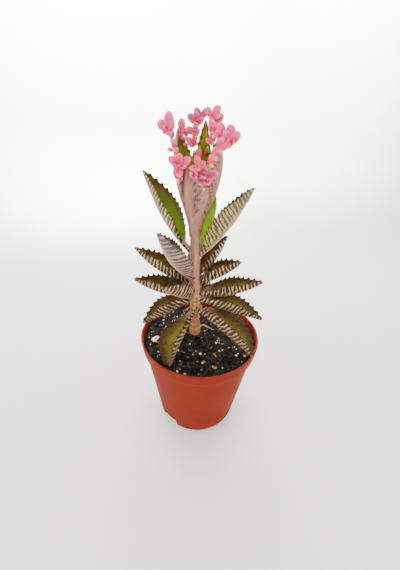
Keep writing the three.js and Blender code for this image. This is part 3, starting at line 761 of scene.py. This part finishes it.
def makeLeaf(name, leaf, look, material, dice):
    rows, columns = leafShape["rows"], leafShape["columns"]
    stalk, stalkWidth = leaf.get("stalk", 0.06), leaf.get("stalkWidth", 0.22)
    power, belly = leaf.get("power", 1), leaf.get("belly", 0.92)
    roll = math.radians(leaf.get("roll", 0))
    outward, across = levelPair(math.radians(leaf["azimuth"]))
    up = np.array([0, 0, 1.0])
    point = stemCentre(leaf["height"]) + outward * (leafShape["offset"] - 1.2)
    teeth = max(4, round(leaf["length"] * (1 - stalk) / leafShape["toothPitch"]))
    shift = {-1: dice.random(), 1: dice.random()}
    seed = dice.uniform(0, 50)
    # columns packed closer to the margin, where the teeth are
    shares = np.array([1 - (1 - i / columns) ** 1.5 for i in range(columns + 1)])
    points, data = [], {key: [] for key in leafMarks}
    ringSize = 4 * columns
    vee, curl = math.radians(leaf.get("vee", 35)), math.radians(leaf.get("curl", 35))
    fineShare = np.linspace(0, 1, 41)
    lean = vee * smoothStep(0, 0.16, fineShare) + curl * fineShare
    flatX = np.concatenate([[0], np.cumsum(np.cos((lean[1:] + lean[:-1]) / 2)) / 40])
    flatY = np.concatenate([[0], np.cumsum(np.sin((lean[1:] + lean[:-1]) / 2)) / 40])
    for row in range(rows):
        along = row / rows
        lift = leaf.get("upright", 0) * max(0, 1 - along / 0.35)
        rise = math.radians(leaf["rise"] + leaf["bend"] * along ** power + lift)
        tangent = outward * math.cos(rise) + up * math.sin(rise)
        face = -outward * math.sin(rise) + up * math.cos(rise)
        side = across * math.cos(roll) + face * math.sin(roll)
        face = face * math.cos(roll) - across * math.sin(roll)
        width = leaf["width"] * bladeWidth(along, stalk, stalkWidth, belly)
        bladeShare = smoothStep(stalk, stalk + 0.12, along) * (1 - smoothStep(0.965, 1.0, along))
        bladeShare *= smoothStep(leaf.get("smoothTo", 0) - 0.1, leaf.get("smoothTo", 0) + 0.1, along)
        slots = [(1, s) for s in range(-columns, columns + 1)]
        slots += [(0, s) for s in range(columns - 1, -columns, -1)]
        for isFace, slotIndex in slots:
            sign = -1 if slotIndex < 0 else 1
            share = shares[abs(slotIndex)]
            phase = (along * teeth / (1 - stalk) + shift[sign]) % 1.0
            tooth = toothAt(phase) * bladeShare
            nearEdge = smoothStep(0.72, 1.0, share) ** 2
            extra = look["tooth"] * tooth * nearEdge * (0.55 + 0.45 * min(1, width / 8))
            angle = float(np.interp(share, fineShare, lean))
            x = width * float(np.interp(share, fineShare, flatX)) + extra * math.cos(angle)
            y = width * float(np.interp(share, fineShare, flatY)) + extra * math.sin(angle)
            ripple = 0.5 * share ** 2 * bladeShare * math.sin(along * 17 + seed + sign)
            spot = Vector((along * 5 + seed, sign * share * 2.5, 1.7))
            ripple += 0.35 * bladeShare * noise.noise(spot)
            normal = -side * sign * math.sin(angle) + face * math.cos(angle)
            thinned = math.sqrt(max(0.0, 1 - share ** 2.6 * 0.93)) * (1 - 0.4 * along)
            half = leafShape["thickness"] / 2 * thinned * (1 - 0.45 * nearEdge * tooth)
            if share == 1.0:
                half = 0
            offset = (half if isFace else -half) + ripple
            place = point + side * sign * x + face * y + normal * offset + tangent * (0.55 * extra)
            points.append(place * mm)
            rim = 0.55 * smoothStep(0.955, 1.0, share) * bladeShare
            dark = 0.95 * smoothStep(0.45, 0.95, tooth) * smoothStep(0.8, 0.98, share)
            patch = math.exp(-((along - 0.55) / 0.3) ** 2 - ((sign * share - 0.42) / 0.34) ** 2)
            values = (along * leaf["length"], sign * share * width, along, share,
                      0.5 if share == 1.0 else isFace, min(1.0, rim + dark), seed,
                      leaf.get("smoke", 0) * (2 * patch - 1))
            for key, value in zip(leafMarks, values):
                data[key].append(value)
        point = point + tangent * (leaf["length"] / rows)
    ends = [(stemCentre(leaf["height"]) + outward * (leafShape["offset"] - 1.6), 0.0), (point, 1.0)]
    for place, along in ends:
        points.append(place * mm)
        values = (along * leaf["length"], 0, along, along, 0.5, along * 0.8, seed, 0)
        for key, value in zip(leafMarks, values):
            data[key].append(value)
    faces = tubeFaces(rows, ringSize, turned=True)
    makePiece(name, points, faces, material, [name], attributes=data)


print("leaves")
leafDice = random.Random(leafShape["seed"])
leafMaterials = {key: leafMaterial(key + "SucculentLeaf", look) for key, look in leafLooks.items()}
for leafName, (*leafNumbers, leafOptions) in leafTable.items():
    leafValues = dict(zip(leafMeasures, leafNumbers), **leafOptions)
    leafKind = leafValues.get("look", "olive")
    makeLeaf("leaf_" + leafName, leafValues, leafLooks[leafKind], leafMaterials[leafKind], leafDice)


# ---- plantlets and young shoots

# base point, azimuth and tilt that the rosette faces, then spoon leaves: clock angle, opening, length
plantletTable = {
    "left_1": ((-25, 1, 249), 250, 40, [
        (96, 60, 10.5), (150, 78, 10), (45, 50, 6.5), (300, 60, 7), (230, 62, 5)]),
    "left_2": ((-18.2, 12, 248.5), 265, 35, [(95, 65, 8.2), (10, 55, 5.1), (250, 50, 5.1)]),
    "left_3": ((-15.9, 12, 245.7), 265, 35, [(70, 50, 5.4), (220, 50, 4.5)]),
    "left_4": ((-14.5, 12, 242), 265, 35, [(70, 50, 4.5), (220, 50, 3.8)]),
    "left_5": ((-22.2, 0, 239), 265, 30, [(90, 70, 6.2), (200, 60, 4.5)]),
    "left_6": ((-20.9, -1, 235), 265, 30, [(90, 70, 5.9), (10, 60, 4.1)]),
    "left_7": ((-23.7, 0, 244.2), 250, 30, [(80, 60, 5.8)]),
    "front_1": ((-18.2, -6, 230.2), 275, 35, [
        (150, 70, 8.5), (30, 70, 8.5), (270, 78, 8), (90, 52, 7.5), (210, 46, 6.5), (330, 46, 6.5),
        (60, 26, 5)]),
    "front_2": ((-19.2, -5, 221.5), 262, 20, [(95, 65, 8.8), (20, 50, 5.1)]),
    "front_3": ((-6.5, -9, 230), 270, 30, [(100, 50, 7.2), (30, 60, 6), (200, 60, 6)]),
    "front_4": ((-3.1, -6, 224), 280, 40, [
        (172, 72, 10), (8, 72, 10), (90, 52, 8), (300, 74, 7), (230, 70, 7)]),
    "front_5": ((-10.4, -10, 227), 262, 20, [(90, 60, 4.1)]),
    "front_6": ((-7.5, -9.4, 224.6), 262, 20, [(90, 60, 4.1)]),
    "front_7": ((-4.3, -7, 220.6), 262, 20, [(90, 60, 4.4)]),
    "front_8": ((-2.5, -6, 217.4), 262, 20, [(90, 60, 4.1)]),
    "back_1": ((-8.3, 12, 253.6), 250, 35, [(150, 62, 8.2), (100, 50, 7.2), (20, 60, 6)]),
    "back_2": ((-6.2, 13, 256.1), 265, 35, [(125, 65, 7.7), (55, 62, 7.2)]),
    "back_3": ((-9, 12, 247.7), 255, 35, [(160, 65, 7.7), (95, 55, 6.6), (30, 50, 4.5)]),
    "back_4": ((-9.2, 12, 242.8), 255, 35, [(175, 62, 7.2), (240, 60, 5.8), (100, 50, 5.8)]),
    "back_5": ((0.5, 13, 257), 275, 35, [(125, 60, 7.2), (50, 66, 8.8), (0, 60, 6)]),
    "back_6": ((2, 12, 254), 285, 35, [(35, 62, 8.2), (200, 55, 5.8)]),
    "right_1": ((2.2, 4, 247.4), 275, 30, [(105, 66, 8.2), (60, 60, 7.8)]),
    "right_2": ((2.5, 3, 243.2), 270, 30, [(100, 66, 7), (170, 60, 5.8)]),
    "right_3": ((6.9, 0, 245.7), 275, 30, [(97, 70, 9.5), (140, 55, 6.4)]),
    "right_4": ((7, -3, 239.5), 275, 25, [(90, 68, 7.8), (40, 60, 5.8)]),
    "right_5": ((4.1, -4, 235.5), 270, 25, [(92, 68, 6.7)]),
    "right_6": ((1.8, -5, 231.5), 270, 25, [(92, 68, 6.5)]),
    "right_7": ((12.1, 0, 243), 285, 35, [
        (84, 70, 11.5), (118, 62, 8.8), (45, 62, 9.4), (200, 50, 5.1)]),
    "shoot_1": ((-10, -1, 234), 200, 60, [(90, 40, 5.8), (260, 40, 5.1)]),
    "shoot_2": ((-6.8, -1, 232.6), 265, 70, [(80, 30, 7.2), (250, 25, 6)]),
    "shoot_3": ((-3.9, 4, 235), 90, 75, [(0, 25, 7.2), (180, 25, 7.2)]),
}
spoonMarks = ("alongShare", "edge", "face", "dusk")
duskyHearts = ("plantlet_back_1", "plantlet_back_2", "plantlet_back_6", "plantlet_front_4")
spoonLooks = {
    # pale is the flesh's own paler tone in blotches and also a painted highlight toward each leaf's end
    "pink": dict(skin="#C41250", pale="#EC5488", heart="#6A4858", foot="#E0B070", heartShare=0.85),
    "red": dict(skin="#8A4030", pale="#B07050", heart="#6B3824", foot="#7C7A2A", heartShare=0.3),
}


def spoonMaterial(name, look):
    # plantlet leaves with no green in them: smooth pink flesh that light shines through, paler in
    # blotches (its own uneven tone) and toward each leaf's end (a painted highlight on the tops, with
    # painted shade in the deeper pink at the base), a dusky heart on the inner face and a cream foot
    material, tree, place = newMaterial(name)
    read = {key: addNode(tree, "Attribute", attribute_name=key).outputs["Fac"] for key in spoonMarks}
    cloud, pores = [addNode(tree, "TexNoise", {"Vector": place, "Scale": scale, "Detail": detail})
                    for scale, detail in ((420.0, 3.0), (2600.0, 2.0))]
    # painted highlight: paleness grows toward each leaf's end for light on the tops, leaving deeper
    # pink at the base as painted shade; the cloud adds the flesh's own paler blotches
    blotchAndTipHighlight = addNode(tree, "Math", {0: cloud, 1: 1.1, 2: read["alongShare"]}, operation="MULTIPLY_ADD")
    paleShare = addNode(tree, "MapRange", {0: blotchAndTipHighlight, 1: 0.75, 2: 1.6})
    inner = addNode(tree, "MapRange", {0: read["edge"], 1: 0.35, 2: 0.8, 3: look["heartShare"], 4: 0.0})
    heartMask = addNode(tree, "Math", {0: inner, 1: read["face"]}, operation="MULTIPLY")
    duskMask = addNode(tree, "Math", {0: heartMask, 1: read["dusk"]}, operation="MULTIPLY")
    footWander = addNode(tree, "Math", {
        0: cloud, 1: -0.2, 2: read["alongShare"]}, operation="MULTIPLY_ADD")
    footShare = addNode(tree, "MapRange", {0: footWander, 1: -0.05, 2: 0.16, 3: 0.95, 4: 0.0})
    colour = look["skin"]
    for share, shade in ((paleShare, "pale"), (duskMask, "heart"), (footShare, "foot")):
        colour = addNode(tree, "Mix", {"Factor": share, 6: colour, 7: look[shade]})
    bump = addNode(tree, "Bump", {"Height": pores, "Strength": 0.15, "Distance": 0.0002})
    shader = addNode(tree, "BsdfPrincipled", {
        "Base Color": colour, "Roughness": 0.42, "Normal": bump, "IOR": 1.4, "Specular IOR Level": 0.25,
        "Subsurface Weight": 0.08, "Subsurface Radius": (0.002, 0.0008, 0.001)})
    addNode(tree, "OutputMaterial", {0: shader})
    return material


def spoonMesh(base, forward, side, face, length, dusk):
    # a thick cupped spoon: narrow foot, broad round end, hollow inner face
    rows, ringSize = 14, 16
    points, data = [], {key: [] for key in spoonMarks}
    for row in range(rows):
        t = (row + 0.5) / rows
        width = 0.33 * length * (math.sin(math.pi * t ** 1.2) ** 0.6 * (0.7 + 0.3 * t) + 0.12 * (1 - t))
        thick = 0.19 * length * math.sin(math.pi * t ** 0.8) ** 0.5
        cup = 0.10 * length * math.sin(math.pi * t)
        for step in range(ringSize):
            angle = 2 * math.pi * step / ringSize
            x, y = math.cos(angle), math.sin(angle)
            lift = y * thick * (0.75 if y > 0 else 1.0)
            rim = 0.16 * abs(x) ** 2 + 0.12 * t ** 4
            rim = rim * length * math.sin(math.pi * min(1, t * 0.9 + 0.05))
            place = base + forward * (t * length) + side * (x * width) + face * (lift + rim - cup)
            points.append(place * mm)
            values = (t, max(abs(x), abs(2 * t - 1.05)), 1.0 if y > 0.2 else 0.0, dusk)
            for key, value in zip(spoonMarks, values):
                data[key].append(value)
    points += [base * mm, (base + forward * length * 0.995 + face * 0.01 * length) * mm]
    for t in (0.0, 1.0):
        for key, value in zip(spoonMarks, (t, 1, 0, dusk)):
            data[key].append(value)
    return points, tubeFaces(rows, ringSize), data


def makePlantlet(name, values, material, dice):
    at, azimuthDegrees, tiltDegrees, spoons = values
    ahead, level = levelPair(math.radians(azimuthDegrees))
    tilt = math.radians(tiltDegrees)
    axis = ahead * math.cos(tilt) + np.array([0, 0, math.sin(tilt)])
    upright = np.cross(axis, level)
    base = np.array(at, dtype=float)
    size = max(s[2] for s in spoons)
    points, faces, data = [], [], {key: [] for key in spoonMarks}

    def join(part):
        start = len(points)
        points.extend(part[0])
        faces.extend([tuple(i + start for i in f) for f in part[1]])
        for key in data:
            data[key].extend(part[2][key])

    # a younger pair stands inside the open leaves
    heartClock = spoons[0][0] + 90
    young = [(heartClock, 24, size * 0.5), (heartClock + 180, 24, size * 0.45)]
    young = young if len(spoons) > 2 else []
    dusk = 1.0 if name in duskyHearts else dice.uniform(0.05, 0.3)
    for clock, opening, length in list(spoons) + young:
        turn, spread = math.radians(clock), math.radians(opening)
        radial = level * math.cos(turn) + upright * math.sin(turn)
        forward = axis * math.cos(spread) + radial * math.sin(spread)
        face = axis * math.sin(spread) - radial * math.cos(spread)
        side = np.cross(forward, face)
        join(spoonMesh(base, forward, side, face, length * 1.03, dusk))
    # cream foot: a small round knob where the leaves join
    blobPoints, blobFaces = unitBlob(2)
    knob = 0.15 * size + 0.35
    places = (blobPoints * knob + base - axis * 0.2) * mm
    knobData = {key: [value] * len(places) for key, value in zip(spoonMarks, (0.0, 1.0, 0.0, 0.0))}
    join((list(places), blobFaces, knobData))
    makePiece(name, points, faces, material, [name], attributes=data)


print("plantlets")
spoonDice = random.Random(23)
spoonMaterials = {key: spoonMaterial(key + "SpoonLeaf", look) for key, look in spoonLooks.items()}
for plantletName, plantletValues in plantletTable.items():
    isShoot = plantletName.startswith("shoot")
    pieceName = plantletName if isShoot else "plantlet_" + plantletName
    makePlantlet(pieceName, plantletValues, spoonMaterials["red" if isShoot else "pink"],
                 spoonDice)
